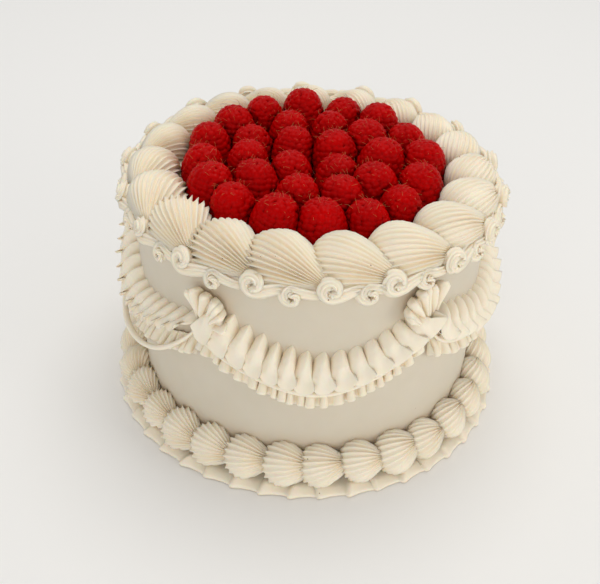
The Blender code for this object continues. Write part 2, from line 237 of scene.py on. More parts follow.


# %% [markdown]
# A raspberry's drupelets are little bags of red juice. Their skin is thin and softly shiny,
# light gets in a millimetre or two and comes out deeper red, and the folds between them get
# painted shade, almost black, where ambient occlusion is low.

# %% Raspberry skin and hairs
def raspberry_skin():
    material, tree, shader = new_material("raspberry_skin")
    coordinates = add_node(tree, "ShaderNodeTexCoord").outputs["Object"]
    ripeness = add_node(tree, "ShaderNodeTexNoise", None,
                        {"Scale": 1 / (12 * MM), "Detail": 2.0}, {"Vector": coordinates})
    ripe = add_node(tree, "ShaderNodeMix", {"data_type": "RGBA"},
                    {6: colour("#980001"), 7: colour("#c40202")},
                    {0: ripeness.outputs["Fac"]})
    # Painted shade: the creases between drupelets are mixed towards near-black red where ambient
    # occlusion finds them
    folds = add_node(tree, "ShaderNodeAmbientOcclusion", {"samples": 8}, {"Distance": 4 * MM})
    depth = add_node(tree, "ShaderNodeMapRange", {"clamp": True},
                     {"From Min": 0.20, "From Max": 0.80, "To Min": 0.85, "To Max": 0.0},
                     {"Value": folds.outputs["AO"]})
    fold_shaded = add_node(tree, "ShaderNodeMix", {"data_type": "RGBA"}, {7: colour("#3c0002")},
                    {0: depth.outputs[0], 6: ripe.outputs[2]})
    tree.links.new(fold_shaded.outputs[2], shader.inputs["Base Color"])
    shader.inputs["Roughness"].default_value = 0.24
    shader.inputs["IOR"].default_value = 1.40
    shader.inputs["Subsurface Weight"].default_value = 0.30
    shader.inputs["Subsurface Radius"].default_value = (1.0, 0.05, 0.03)
    shader.inputs["Subsurface Scale"].default_value = 1.8 * MM
    shader.inputs["Specular IOR Level"].default_value = 0.06
    skin = add_node(tree, "ShaderNodeTexNoise", None, {"Scale": 1 / (0.5 * MM), "Detail": 3.0},
                    {"Vector": coordinates})
    bump = add_node(tree, "ShaderNodeBump", None, {"Strength": 0.3, "Distance": 0.08 * MM},
                    {"Height": skin.outputs["Fac"]})
    tree.links.new(bump.outputs["Normal"], shader.inputs["Normal"])
    return material


def hair_finish():
    material, tree, shader = new_material("raspberry_hair")
    coordinates = add_node(tree, "ShaderNodeTexCoord").outputs["Object"]
    shade = add_node(tree, "ShaderNodeTexNoise", None, {"Scale": 1 / (6 * MM)},
                     {"Vector": coordinates})
    tan = add_node(tree, "ShaderNodeMix", {"data_type": "RGBA"},
                   {6: colour("#8e4a22"), 7: colour("#c08a4a")}, {0: shade.outputs["Fac"]})
    tree.links.new(tan.outputs[2], shader.inputs["Base Color"])
    shader.inputs["Roughness"].default_value = 0.6
    return material


berry_skin = raspberry_skin()
berry_hair = hair_finish()

# %% [markdown]
# ## The iced cake
#
# The cake is a lathe shape with a softly rounded rim. A steel scraper leaves the wall almost
# perfect: only shallow waves of a tenth or two of a millimetre are left.

# %% The cake
CAKE_SIDES = 256
CAKE_ROWS = 50
RIM_ROUND = 3.0 * MM
FOOT_ROUND = 1.2 * MM
SCRAPE_DEPTH = 0.10 * MM


def cake_surface(u, v):
    azimuth = 2 * math.pi * u
    stops = [0.0, 0.04, 0.08, 0.80, 0.84, 0.88, 0.94, 1.0]
    radii = [0.0, WALL - FOOT_ROUND, WALL, WALL, WALL - 0.25 * RIM_ROUND,
             WALL - RIM_ROUND, WALL * 0.6, 0.0]
    heights = [0.0, 0.0, FOOT_ROUND, TOP - RIM_ROUND, TOP - 0.25 * RIM_ROUND, TOP, TOP, TOP]
    radius = np.interp(v, stops, radii)
    height = np.interp(v, stops, heights)
    wave = np.sin(3 * azimuth + 40 * height) + np.sin(7 * azimuth - 65 * height + 1.0)
    radius = radius - np.where(radius > 0, SCRAPE_DEPTH * (1 + 0.5 * wave), 0.0)
    return on_cake(azimuth, radius, height)


iced_cake = rolled_grid("iced_cake", CAKE_SIDES, CAKE_ROWS, cake_surface)
dress(iced_cake, "smooth_buttercream", shaded_smooth_icing, "cake_body")
print("iced cake", len(iced_cake.data.polygons), "faces")

# %% [markdown]
# ## Shells
#
# A shell is one squeeze of a star tip. The icing wells up from where the tip first touched,
# swells over into a round head, and is pulled back and down into a thin tail, which the next
# head covers. The tip's teeth leave ridges that all start at the first touch, run over the
# head and gather again in the tail, the way an orange's segments run from pole to pole.
#
# So the shell is a ball with two poles, the touch low down and the tail behind, and the grid's
# lines run from one to the other the long way round, over the head. That gives a fan of
# ridges at the tail and nested C curves at the head. Then the ball is stretched into a
# shell, flattened and drawn out at the tail.

# %% The form of one shell
RIDGE_STEPS = 6
SHELL_ROWS = 24
CREST_POWER = 1.8
SHELL_SAG = 0.25 * MM
# The lines stop just short of a pole, where their formula has no value
ALMOST_ONE = 0.9999
ALMOST_QUARTER_TURN = 1.5707


def pole_to_pole(u, v, touch, tail):
    """Points on a ball of radius 1 whose grid lines run from the tail pole to the touch pole,
    the long way round. x is ahead, y to one side, z up."""
    touch = Vector(touch).normalized()
    tail = Vector(tail).normalized()
    half = (math.pi - touch.angle(tail) / 2) / 2
    pole = math.tan(half)
    crest = -(touch + tail).normalized()
    onward = (touch - tail).normalized()
    aside = crest.cross(onward)
    turn = np.clip(math.pi * (u - 0.5), -ALMOST_QUARTER_TURN, ALMOST_QUARTER_TURN)
    ring = 2 * np.arctan(np.tan(turn) / pole)
    reach = np.clip(np.tan((2 * v - 1) * half) / pole, -ALMOST_ONE, ALMOST_ONE)
    flat = pole * np.tanh(np.arctanh(reach) + 0.5j * ring)
    size = np.abs(flat) ** 2
    shares = [(1 - size) / (1 + size), 2 * flat.real / (1 + size), 2 * flat.imag / (1 + size)]
    return sum(share[..., None] * np.array(axis)
               for share, axis in zip(shares, (crest, onward, aside)))


def shell_form(u, v, shell, chance):
    """Points of a shell in metres: x from the middle of its head forward, y outward, z up.

    The ridges fade from its plain share backwards, and drawn grows to 1 at the tail."""
    ball = pole_to_pole(u, v, shell["touch"], shell["tail"])
    back = np.clip(-ball[..., 0], 0.0, 1.0)
    drawn = smooth(0.0, 1.0, back)
    length = np.where(ball[..., 0] > 0, shell["head"], shell["length"])
    narrow = 1 - shell["narrowing"] * drawn
    drift = shell["drift"] * drawn
    points = np.stack([ball[..., 0] * length, ball[..., 1] * shell["width"] * narrow + drift,
                       shell["middle"] * (1 - 0.45 * drawn)
                       + ball[..., 2] * shell["rise"] * narrow], axis=-1)
    normal = surface_normals(points)
    facing = np.sum(normal[len(u) // 2] * ball[len(u) // 2])
    normal = normal * math.copysign(1.0, facing)
    apart = 2 * np.abs((u * shell["ridges"]) % 1.0 - 0.5)
    crest = (1 - apart) ** CREST_POWER
    uneven = 1 + 0.20 * np.sin(2 * math.pi * (2 * u + chance.random()))
    uneven = uneven + 0.15 * np.sin(2 * math.pi * (5 * u + chance.random()))
    depth = shell["depth"] * uneven * smooth(0.98, shell["plain"], back)
    depth = depth * smooth(0.0, 0.12, v) * smooth(1.0, 0.88, v)
    points = points + normal * ((crest - 0.4) * depth)[..., None]
    sag = 2 * math.pi * (0.9 * u + 0.6 * v + chance.random())
    points = points + normal * (SHELL_SAG * np.sin(sag))[..., None]
    points[0] = points[0].mean(axis=0)
    points[-1] = points[-1].mean(axis=0)
    return points


def closed_shell(name, shell, chance, seat):
    """seat(points) puts a shell's points on the cake."""
    across = shell["ridges"] * RIDGE_STEPS

    def place(u, v):
        return seat(shell_form(u, v, shell, chance))

    return rolled_grid(name, across, SHELL_ROWS, place)


# %% [markdown]
# The large shells stand on the rim of the cake, piped one way round. Their heads are turned a
# little towards the berries and their tails run out towards the edge. The ones at the front
# are larger than the ones at the back.

# %% The top shells
TOP_SHELLS = 19
TOP_PITCH = 2 * math.pi / TOP_SHELLS
TOP_FIRST = math.radians(-8.5)
TOP_SPREAD = math.radians(4.0)
TOP_FRONT_SWELL = 0.21
TOP_RING = 74.6 * MM
TOP_SHELL = {"head": 13.0 * MM, "length": 21.5 * MM, "width": 11.5 * MM, "rise": 10.0 * MM,
             "middle": 4.3 * MM, "narrowing": 0.45, "drift": 4.0 * MM, "ridges": 30,
             "depth": 2.0 * MM, "plain": 0.30, "touch": (0.25, 0.05, -0.97),
             "tail": (-0.75, 0.62, -0.22)}


def top_shell(number):
    chance = random.Random(100 + number)
    even = TOP_FIRST + TOP_PITCH * (number + chance.uniform(-0.04, 0.04))
    grown = chance.uniform(0.97, 1.03) * (1 + TOP_FRONT_SWELL * math.cos(even))
    yaw = math.radians(6 + chance.uniform(-5, 5))
    middle = even + TOP_SPREAD * math.sin(even)
    firm = 1.0 - 0.30 * math.sin(middle)
    shell = dict(TOP_SHELL, depth=TOP_SHELL["depth"] * firm * chance.uniform(0.85, 1.1))

    def seat(points):
        ahead = points[..., 0] * math.cos(yaw) + points[..., 1] * math.sin(yaw)
        outward = points[..., 1] * math.cos(yaw) - points[..., 0] * math.sin(yaw)
        return on_cake(middle - grown * ahead / TOP_RING, TOP_RING + grown * outward,
                       TOP + grown * points[..., 2])

    return closed_shell("top_shell", shell, chance, seat)


top_shells = joined("top_shells", [top_shell(number) for number in range(TOP_SHELLS)])
dress(top_shells, "piped_buttercream", lit_piped_icing, "top_shell_border")

# %% [markdown]
# The smaller shells at the foot lie in the corner between the wall and the board, so they
# lean back: one side of each fan climbs the wall, and the other comes down on the ribbon.

# %% The base shells
BASE_SHELLS = 31
BASE_PITCH = 2 * math.pi / BASE_SHELLS
BASE_FIRST = math.radians(5.2)
BASE_SHELL = {"head": 9.2 * MM, "length": 16.0 * MM, "width": 9.7 * MM, "rise": 6.6 * MM,
              "middle": 1.6 * MM, "narrowing": 0.55, "drift": 0.0, "ridges": 21,
              "depth": 1.45 * MM, "plain": 0.60, "touch": (-0.21, 0.25, -0.95),
              "tail": (-0.98, 0.0, 0.15)}
BASE_SLOPE = math.radians(50)
BASE_RADIUS = 89.0 * MM
BASE_HEIGHT = 12.4 * MM


def base_shell(number):
    chance = random.Random(300 + number)
    grown = chance.uniform(0.95, 1.05)
    yaw = math.radians(chance.uniform(-8, 8))
    middle = BASE_FIRST + BASE_PITCH * (number + chance.uniform(-0.04, 0.04))

    def seat(points):
        ahead = grown * (points[..., 0] * math.cos(yaw) + points[..., 1] * math.sin(yaw))
        down = grown * (points[..., 1] * math.cos(yaw) - points[..., 0] * math.sin(yaw))
        up = grown * points[..., 2]
        radius = BASE_RADIUS + down * math.cos(BASE_SLOPE) + up * math.sin(BASE_SLOPE)
        height = BASE_HEIGHT - down * math.sin(BASE_SLOPE) + up * math.cos(BASE_SLOPE)
        return on_cake(middle - ahead / BASE_RADIUS, radius, np.maximum(height, 1 * MM))

    return closed_shell("base_shell", BASE_SHELL, chance, seat)


base_shells = joined("base_shells", [base_shell(number) for number in range(BASE_SHELLS)])
dress(base_shells, "piped_buttercream", lit_piped_icing, "base_shell_border")

# %% [markdown]
# ## The ribbon on the board
#
# Before the base shells, a petal tip laid a flat ribbon on the board, pushed back and forth
# so that it lies in shallow pleats. Each pleat starts on top of the one before and slopes
# down to the next, and its corner sticks out a little.

# %% The pleated ribbon
PLEATS = 44
PLEAT_FIRST = math.radians(3.9)
PLEAT_STEPS = 20
RIBBON_ROWS = 24
RIBBON_EDGE = 97.6 * MM
# Along one pleat: how high its edge lies and how far its corner sticks out, as shares
PLEAT_FALL = ([0.0, 0.06, 0.16, 0.45, 0.80, 1.0], [0.0, 0.75, 1.0, 0.62, 0.15, 0.0])
PLEAT_CORNER = ([0.0, 0.05, 0.14, 0.45, 0.80, 1.0], [0.3, 0.85, 1.0, 0.38, 0.15, 0.3])
# Across the ribbon, from the wall out over the top and back underneath
RIBBON_STOPS = [0.0, 0.30, 0.45, 0.50, 0.55, 0.75, 1.0]
RIBBON_SPREAD = [0.0, 0.72, 1.0, 1.01, 0.995, 0.75, 0.0]
RIBBON_UPPER = [3.2, 2.4, 1.4, 0.8, 0.1, 0.0, 0.0]
RIBBON_RAISED = [0.2, 1.0, 0.42, 0.30, 0.15, 0.0, 0.0]


def ribbon_surface(u, v):
    pleat = u * PLEATS
    share = pleat % 1.0
    number = np.floor(pleat).astype(int) % PLEATS
    chance = np.random.RandomState(5)
    uneven = chance.uniform(-1, 1, PLEATS)[number]
    edge = RIBBON_EDGE + (2.2 + 0.3 * uneven) * MM * np.interp(share, *PLEAT_CORNER)
    lift = (1.9 + 0.5 * uneven) * MM * np.interp(share, *PLEAT_FALL)
    inner = WALL - 0.5 * MM
    radius = inner + (edge - inner) * np.interp(v, RIBBON_STOPS, RIBBON_SPREAD)
    upper = np.interp(v, RIBBON_STOPS, RIBBON_UPPER) * MM
    height = upper + lift * np.interp(v, RIBBON_STOPS, RIBBON_RAISED)
    aside = 0.30 * 2 * math.pi / PLEATS * (1 - smooth(0.0, 0.5, v)) * uneven
    return on_cake(PLEAT_FIRST + u * 2 * math.pi + aside, radius, height)


ribbon = rolled_grid("pleated_ribbon", PLEATS * PLEAT_STEPS, RIBBON_ROWS, ribbon_surface)
dress(ribbon, "piped_buttercream", lit_piped_icing, "base_ribbon")
print("ribbon", len(ribbon.data.polygons), "faces")

# %% [markdown]
# ## Swags
#
# Five swags hang round the wall. Each is a garland of petal folds, a plain string under it
# and a narrow frill below that, and a fan of petals covers the place where two swags meet.
#
# A garland is one band of icing from a petal tip that is moved up and down as it goes along.
# Each stroke is a soft finger with a round top, a full belly and a thin lip at the bottom,
# which laps over the next finger's foot.

# %% Where the swags are
SWAGS = 5
SWAG_FIRST = math.radians(-34.0)
SWAG_PITCH = 2 * math.pi / SWAGS


def swag_azimuth(index, share, clearance):
    """An azimuth for a share from -1 to 1 along a swag."""
    middle = SWAG_FIRST + SWAG_PITCH * (index + 0.5)
    return middle + share * (SWAG_PITCH / 2 - math.radians(clearance))


# For each swag the rise in mm, left and right, of the garland's top and of its bottom
SWAG_RISE = {0: ((20.0, 20.0), (20.4, 27.0)), 1: ((14.0, 22.0), (16.0, 22.0)),
             2: ((19.0, 19.0), (21.0, 21.0)), 3: ((19.0, 19.0), (21.0, 21.0)),
             4: ((20.0, 11.1), (22.0, 18.0))}
SWAG_POWER = {0: 1.45, 1: 1.6, 2: 1.5, 3: 1.5, 4: 1.2}
LOWEST = 0.05
# Heights in mm where a swag hangs lowest
GARLAND_TOP = 72.2
GARLAND_BOTTOM = 61.6
STRING_HEIGHT = 57.0
FRILL_HEIGHT = 49.0


def hang(index, share, line):
    """How many mm a swag's top (line 0) or bottom (line 1) rises above its lowest place."""
    left, right = SWAG_RISE[index][line]
    away = share - LOWEST
    rise = np.where(away < 0, left, right)
    return rise * (np.sqrt(away * away + 0.004) - 0.05) ** SWAG_POWER[index]


def by_fold(fold, count, seed):
    """A random value from -1 to 1 for each fold of a band."""
    values = np.random.RandomState(seed).uniform(-1, 1, count + 1)
    return values[np.clip(np.floor(fold).astype(int), 0, count)]


def all_round(make, node):
    """Makes one piece for each swag, and each piece stands for its own numbered node."""
    pieces = [make(index) for index in range(SWAGS)]
    for index, piece in enumerate(pieces):
        dress(piece, "piped_buttercream", lit_piped_icing, "%s_%d" % (node, index + 1))
    print(node, "pieces", sum(len(piece.data.polygons) for piece in pieces), "faces")


# %% The garlands
FOLDS = 14
FOLD_STEPS = 20
BAND_ROWS = 46
FRONT_SHARE = 0.86
EMBEDDED = 0.6
# Down a stroke: how far its crest and the groove beside it stand off the wall, in mm
PEAK_DEPTH = ([0, 0.02, 0.06, 0.13, 0.28, 0.5, 0.75, 1.0],
              [0.0, 2.0, 3.9, 5.6, 7.6, 8.9, 10.0, 11.2])
VALLEY_DEPTH = ([0, 0.06, 0.15, 0.30, 0.50, 0.75, 1.0], [0.0, 0.8, 2.6, 5.4, 7.5, 9.0, 10.2])
# Round the closed band: down the front to the lip, then back under it to the wall
BAND_STOPS = [0.0, 0.74, 0.79, 0.84, 0.92, 1.0]
BAND_DOWN = [0.0, 1.0, 1.0, 0.95, 0.82, 0.60]
BAND_BACK = [0, 0, 0.9, 2.6, 7.0, 20.0]
GARLAND_LEAN = {0: (4.0, 1.0, -1.5, -5.0), 1: (4.0, 1.0, -1.0, -3.0),
                2: (2.0, 1.0, -1.0, -3.0), 3: (2.0, 1.0, -1.0, -3.0), 4: (2.0, 3.0, 6.0, 8.0)}


def lapped(fold, lap):
    """One stroke of a lapped band, for a running number of strokes.

    Returns the place across the stroke's face from 0 to 1, how far the run has turned back
    under the face from 0 to 1, and the run itself in strokes."""
    within = fold % 1.0
    face = np.clip(within / FRONT_SHARE, 0.0, 1.0)
    under = np.clip((within - FRONT_SHARE) / (1 - FRONT_SHARE), 0.0, 1.0)
    front_run = face * (1 + lap)
    return face, under, np.floor(fold) + front_run + (1.0 - front_run) * under


def garland(index):
    def place(u, v):
        fold = np.clip(u * FOLDS, 0.0, FOLDS - 1e-6)
        down = np.interp(v, BAND_STOPS, BAND_DOWN)
        taller = by_fold(fold, FOLDS, 20 + index)
        fuller = by_fold(fold, FOLDS, 50 + index)
        face, under, run = lapped(fold, (0.26 + 0.07 * fuller) * smooth(0.45, 1.0, down))
        run = run + 0.14 * np.sin(2 * math.pi * (1.7 * u + 0.3 * index)) * np.sin(math.pi * u)
        share = 2 * run / FOLDS - 1
        pointed = smooth(0.45, -0.25, share)
        across = 2 * face - 1
        room = 1 - across * across
        domed = np.sqrt(np.clip(1 - (across - 0.30 * pointed * room) ** 2, 0, 1))
        flame = (1 - np.abs(np.clip(across - 0.40 * room, -1, 1))) ** 1.1
        dome = domed + pointed * (0.55 * flame - 0.20)
        left = np.clip((0.42 - face) / 0.42, 0, 1)
        right = np.clip((face - 0.42) / 0.58, 0, 1)
        tongue = 3.6 * left ** 2.0 + (5.2 + 0.8 * fuller) * right ** 2.3
        top = GARLAND_TOP + hang(index, share, 0) + 4.8 * dome + 0.7 * taller
        bottom = GARLAND_BOTTOM + hang(index, share, 1)
        bottom = bottom + tongue * (1 - 0.35 * under) + 0.5 * fuller
        height = top + (bottom - top) * down
        peak = np.interp(down, *PEAK_DEPTH) + 0.4 * fuller
        valley = np.interp(down, *VALLEY_DEPTH)
        lip = valley + 2.6 * smooth(0.55, 1.0, down)
        blunt = 0.9 + 0.9 * smooth(0.05, 0.40, down)
        rising = np.sin(np.clip(face / 0.44, 0, 1) * math.pi / 2) ** blunt
        falling = np.cos(np.clip((face - 0.44) / 0.56, 0, 1) * math.pi / 2) ** blunt
        depth = np.where(face < 0.44, valley + (peak - valley) * rising,
                         lip + (peak - lip) * falling)
        depth = depth + (valley - depth) * under - 0.8 * smooth(0.6, 1.0, down) * under
        ripple = np.sin(2 * math.pi * (1.1 * down + 0.37 * np.floor(fold)))
        depth = depth + 0.25 * ripple * smooth(0.1, 0.3, down)
        depth = np.maximum(depth - np.interp(v, BAND_STOPS, BAND_BACK), 0.0)
        depth = np.where(v == 0, 0.0, depth) - EMBEDDED
        lean = np.interp(share, [-1, 0, 0.6, 1], GARLAND_LEAN[index])
        azimuth = swag_azimuth(index, share, 2.2) + lean * (0.5 - down) * MM / WALL
        return on_cake(azimuth, WALL + depth * MM, height * MM)

    return rolled_grid("garland_piping_%d" % (index + 1), FOLDS * FOLD_STEPS, BAND_ROWS, place)


all_round(garland, "garland")

# %% [markdown]
# The string is a plain round thread of icing, held at the two ends of the swag and left to
# hang against the garland's lips. One of them came away and hangs lower, clear of the wall.

# %% The strings
STRING = 1.25 * MM
STRING_STEPS = 120
STRING_SIDES = 12
STRING_RING = 88.9
LOOSE_STRING = 4
LOOSE_LOW = 48.5
JUNCTION = 79.5


def string(index):
    def place(u, v):
        share = 2 * u - 1
        turn = 2 * math.pi * v
        loose = index == LOOSE_STRING
        thick = STRING + (0.25 * MM if loose else 0.0)
        thick = thick * (1 + 0.08 * np.sin(19 * u + index))
        thick = thick * np.sqrt(np.clip(1 - np.abs(share) ** 60, 0, 1))
        fall = np.clip(1 - np.abs(share) ** 1.7, 0, 1)
        if loose:
            drop = (LOOSE_LOW + 30.0 * np.abs(share) ** 2.4) * MM
        else:
            ends = JUNCTION - STRING_HEIGHT - 0.97 * hang(index, np.sign(share), 1)
            drop = STRING_HEIGHT + 0.97 * hang(index, share, 1) + ends * np.abs(share) ** 9
            drop = drop * MM
        radius = (STRING_RING + (4.5 if loose else 0.0) * fall) * MM + thick * np.cos(turn)
        return on_cake(swag_azimuth(index, share, 0.3), radius, drop - thick * np.sin(turn))

    return rolled_grid("string_piping_%d" % (index + 1), STRING_STEPS, STRING_SIDES, place)


all_round(string, "string")

# %% [markdown]
# The frill is a thin band that slants down and out from the wall, and its free edge is waved so
# tightly that it doubles back on itself. The band's midline is a wave, square to that slant,
# that also swings from side to side, and its two faces lie half a thickness to either side.

# %% The frills
FRILL_FOLDS = 22
FRILL_FOLD_STEPS = 24
FRILL_ROWS = 20
# How far down and out the frill's free edge lies from its root, in mm
FRILL_FALL = 8.8
FRILL_OUT = 3.8
# Round the closed band: over its upper face to the free edge and back
FRILL_STOPS = [0.0, 0.46, 0.50, 0.54, 1.0]
FRILL_REACH = [0.0, 0.97, 1.0, 0.97, 0.0]
FRILL_FACE = [1.0, 1.0, 0.0, -1.0, -1.0]


def band(run, lift, face, half):
    """Moves a band's two faces apart, square to its midline, which follows the grid's rows."""
    slope_run = np.gradient(run, axis=1)
    slope_lift = np.gradient(lift, axis=1)
    length = np.maximum(np.hypot(slope_run, slope_lift), 1e-9)
    return (run - half * face * slope_lift / length,
            lift + half * face * slope_run / length)


def frill(index):
    def place(u, v):
        share = 2 * u - 1
        out = np.interp(v, FRILL_STOPS, FRILL_REACH)
        face = np.interp(v, FRILL_STOPS, FRILL_FACE)
        warp = 0.35 * np.sin(2 * math.pi * (2.6 * u + 0.37 * index))
        wave = 2 * math.pi * (FRILL_FOLDS * u + warp)
        rough = 1 + 0.35 * np.sin(wave * 0.37 + index)
        swing = (0.5 + 2.3 * out) * rough
        aside = 0.6 * np.sin(0.61 * wave) - 0.75 * out * rough * np.sin(2 * wave + 1.0 * out)
        run = share * WALL * SWAG_PITCH / 2 / MM + aside
        half = (0.70 - 0.25 * out) * np.minimum(1.0, 24 * np.minimum(u, 1 - u))
        run, lift = band(run, swing * np.sin(wave + 0.5 * out), face, half)
        root = FRILL_HEIGHT + 8.4 + hang(index, share, 1)
        height = root - FRILL_FALL * out + 0.55 * lift
        depth = 0.4 + FRILL_OUT * out + 0.84 * lift
        middle = SWAG_FIRST + SWAG_PITCH * (index + 0.5)
        return on_cake(middle + run * MM / WALL * 0.985, WALL + np.maximum(depth, -0.4) * MM,
                       height * MM)

    return rolled_grid("frill_piping_%d" % (index + 1), FRILL_FOLDS * FRILL_FOLD_STEPS,
                       FRILL_ROWS, place)


all_round(frill, "ruffle")

# %% [markdown]
# A fan is piped in strokes that all start at one foot. Each petal is long and rounded, its
# one side laps over the next, and the last ones curl outward as the tip is turned.

# %% The fans
PETALS = 7
FAN_ROWS = 44
FAN_AIMS = [(-22, 58), (-50, 12), (-30, 44), (-40, 38), (-26, 50)]
FAN_SHIFT = [3.4, -1.0, 0.0, 0.0, 0.0]
FAN_REACH = [10.0, 12.5, 11.0, 11.0, 10.5]
FAN_FOOT = 80.0
FAN_CEILING = 110.5
# Round the closed petals: up the front, over the tip and down the back
FAN_STOPS = [0.0, 0.10, 0.72, 0.80, 0.88, 1.0]
FAN_UP = [0.0, 0.10, 0.95, 1.0, 0.93, 0.0]
FAN_FRONT = [0, 1, 1, 0.80, 0.2, 0.0]


def fan(index):
    first, last = FAN_AIMS[index]
    mirrored = index == 1

    def place(u, v):
        fold = np.clip(u * PETALS, 0.0, PETALS - 1e-6)
        up = np.interp(v, FAN_STOPS, FAN_UP)
        front = np.interp(v, FAN_STOPS, FAN_FRONT)
        longer = by_fold(fold, PETALS, 80 + index)
        bolder = by_fold(fold, PETALS, 90 + index)
        face, under, run = lapped(fold, (0.22 + 0.12 * bolder) * up)
        share = run / PETALS
        share = 1 - share if mirrored else share
        aim = first + (last - first) * share
        curl = smooth(14, 60, np.abs(aim))
        upright = np.cos(np.radians(aim)) ** 1.5
        round_top = np.sqrt(np.clip(1 - (2 * face - 1) ** 2, 0, 1))
        reach = FAN_REACH[index] * (1 + upright) + 1.0 * longer + 3.6 * round_top * up
        middle = 2.6 + 2.8 * up + 2.6 * curl * up ** 2
        rising = np.sin(np.clip(face / 0.45, 0, 1) * math.pi / 2)
        falling = np.cos(np.clip((face - 0.45) / 0.55, 0, 1) * math.pi / 2) ** 0.9
        ridge = np.where(face < 0.45, rising, 0.25 + 0.75 * falling)
        ridge = ridge * (1 - under)
        depth = middle + (1.4 + 2.6 * up) * ridge
        depth = depth + 0.4 * np.sin(2 * math.pi * (1.3 * up + 0.31 * np.floor(fold)))
        swing = 1.3 * up * np.sin(2.4 * up + 1.9 * np.floor(fold))
        turned = np.radians(aim)
        # The petals share a narrow stem before they spread
        spread = up ** 1.25
        across = spread * reach * np.sin(turned) + swing * np.cos(turned)
        across = across + FAN_SHIFT[index] + 2.0 * (share - 0.5) * (1 - up)
        height = FAN_FOOT + up * reach * np.cos(turned) - swing * np.sin(turned)
        depth = np.where((v == 0) | (v == 1), 0.0, depth * front) - 0.5
        azimuth = SWAG_FIRST + SWAG_PITCH * index + across * MM / (WALL + 5 * MM)
        return on_cake(azimuth, WALL + depth * MM, np.minimum(height, FAN_CEILING) * MM)

    return rolled_grid("fan_piping_%d" % (index + 1), PETALS * FOLD_STEPS, FAN_ROWS, place)


all_round(fan, "fan")

# %% [markdown]
# ## The scrolls
#
# Under the top shells runs a rope of scrolls from a small star tip: a curl above whose end
# runs off to the right, then a curl that hangs below, and so on round. Each is a star-shaped
# rope swept along a spiral, so the rope's ridges follow the curl.

# %% A ridged rope along a path
def star_rope(name, path, thickness, teeth, notch, steps_round):
    """path is an array of points, thickness the radius at each, in metres."""
    count = len(path)
    along = np.gradient(path, axis=0)
    along /= np.linalg.norm(along, axis=1, keepdims=True)
    side = np.zeros_like(path)
    start = np.cross(along[0], path[0] * np.array([1, 1, 0]))
    side[0] = start / np.linalg.norm(start)
    for step in range(1, count):
        carried = side[step - 1] - along[step] * np.dot(side[step - 1], along[step])
        side[step] = carried / np.linalg.norm(carried)
    other = np.cross(along, side)

    def place(u, v):
        station = np.round(u * (count - 1)).astype(int)
        turn = 2 * math.pi * v
        apart = 2 * np.abs((teeth * v) % 1.0 - 0.5)
        radius = thickness[station] * (1 - notch * apart ** 0.75)
        ends = (station == 0) | (station == count - 1)
        radius = np.where(ends, 0.0, radius)[..., None]
        return (path[station] + side[station] * radius * np.cos(turn)[..., None]
                + other[station] * radius * np.sin(turn)[..., None])

    return rolled_grid(name, count - 1, steps_round, place)


# %% The scroll border
SCROLLS = 18
SCROLL_PITCH = 2 * math.pi / SCROLLS
SCROLL_FIRST = math.radians(4.4)
SCROLL_RADIUS = 87.6 * MM
CURL_STEPS = 44
RUN_STEPS = 22
ROPE_TEETH = 9
ROPE_NOTCH = 0.42
ROPE_SIDES = 36
# The rope's radius in mm along a scroll, thickest where the curl lets go
ROPE_THICKNESS = ([0, 0.02, 0.10, 0.35, 0.60, 0.75, 0.92, 1.0],
                  [1.2, 2.5, 2.8, 3.1, 3.5, 4.0, 3.2, 0.9])


def scroll(azimuth, height, hand, size, chance):
    """hand is 1 for a curl above, whose end leaves below, and -1 for one that hangs."""
    curl = np.linspace(0, 1, CURL_STEPS)
    turn = np.radians(-90 + 360 * curl)
    spread = (0.10 + 3.2 * curl ** 0.9) * size
    across = spread * np.cos(turn)
    rise = spread * np.sin(turn) * hand
    stand = 3.2 - 3.4 * curl
    run = np.linspace(0, 1, RUN_STEPS)[1:]
    far = chance.uniform(13.0, 16.0)
    across = np.concatenate([across, across[-1] + far * run])
    rise = np.concatenate([rise, rise[-1] + hand * (2.6 * np.sin(1.9 * run) ** 1.2)])
    stand = np.concatenate([stand, -0.2 - 1.2 * run ** 2])
    travelled = np.linspace(0, 1, len(across))
    thick = np.interp(travelled, *ROPE_THICKNESS) * size
    radius = SCROLL_RADIUS + (stand - 0.20 * rise) * MM
    path = on_cake(azimuth + across * MM / SCROLL_RADIUS, radius, height + rise * MM)
    return star_rope("scroll", path, thick * MM, ROPE_TEETH, ROPE_NOTCH, ROPE_SIDES)


def scroll_pair(number):
    chance = random.Random(600 + number)
    start = SCROLL_FIRST + SCROLL_PITCH * (number + chance.uniform(-0.08, 0.08))
    upper = scroll(start, TOP + 2.6 * MM, 1, chance.uniform(1.05, 1.25), chance)
    lower = scroll(start + SCROLL_PITCH * 0.5, TOP - 1.4 * MM, -1, chance.uniform(0.85, 1.05),
                   chance)
    return [upper, lower]


scroll_ropes = []
for number in range(SCROLLS):
    scroll_ropes += scroll_pair(number)
scrolls = joined("scrolls", scroll_ropes)
dress(scrolls, "piped_buttercream", lit_piped_icing, "scroll_border")

# %% [markdown]
# ## Raspberries
#
# A raspberry is a blunt cone of drupelets in staggered rows. Its surface is a dome whose
# height rises to a small round cushion over each drupelet, with a crease where two meet, so
# the creases are as deep as the real ones. The thin brown hairs are what is left of the
# flower's styles, and about half of the drupelets near the tip still have theirs.

# %% The form of one berry
DRUPELET = 3.0 * MM
CUSHION_RADIUS = 0.66 * DRUPELET
CUSHION_HEIGHT = 0.54 * DRUPELET
BERRY_WIDTH = ([0, 0.15, 0.30, 0.45, 0.60, 0.72, 0.82, 0.91, 1.0],
               [0.93, 1.00, 0.96, 0.85, 0.71, 0.58, 0.44, 0.27, 0.0])


def berry_profile(share):
    """Radius and height of the dome, as shares of the berry's own, for 0 to 1 up its side."""
    lift = np.sin(share * math.pi / 2) ** 1.05
    return np.interp(share, *BERRY_WIDTH), lift


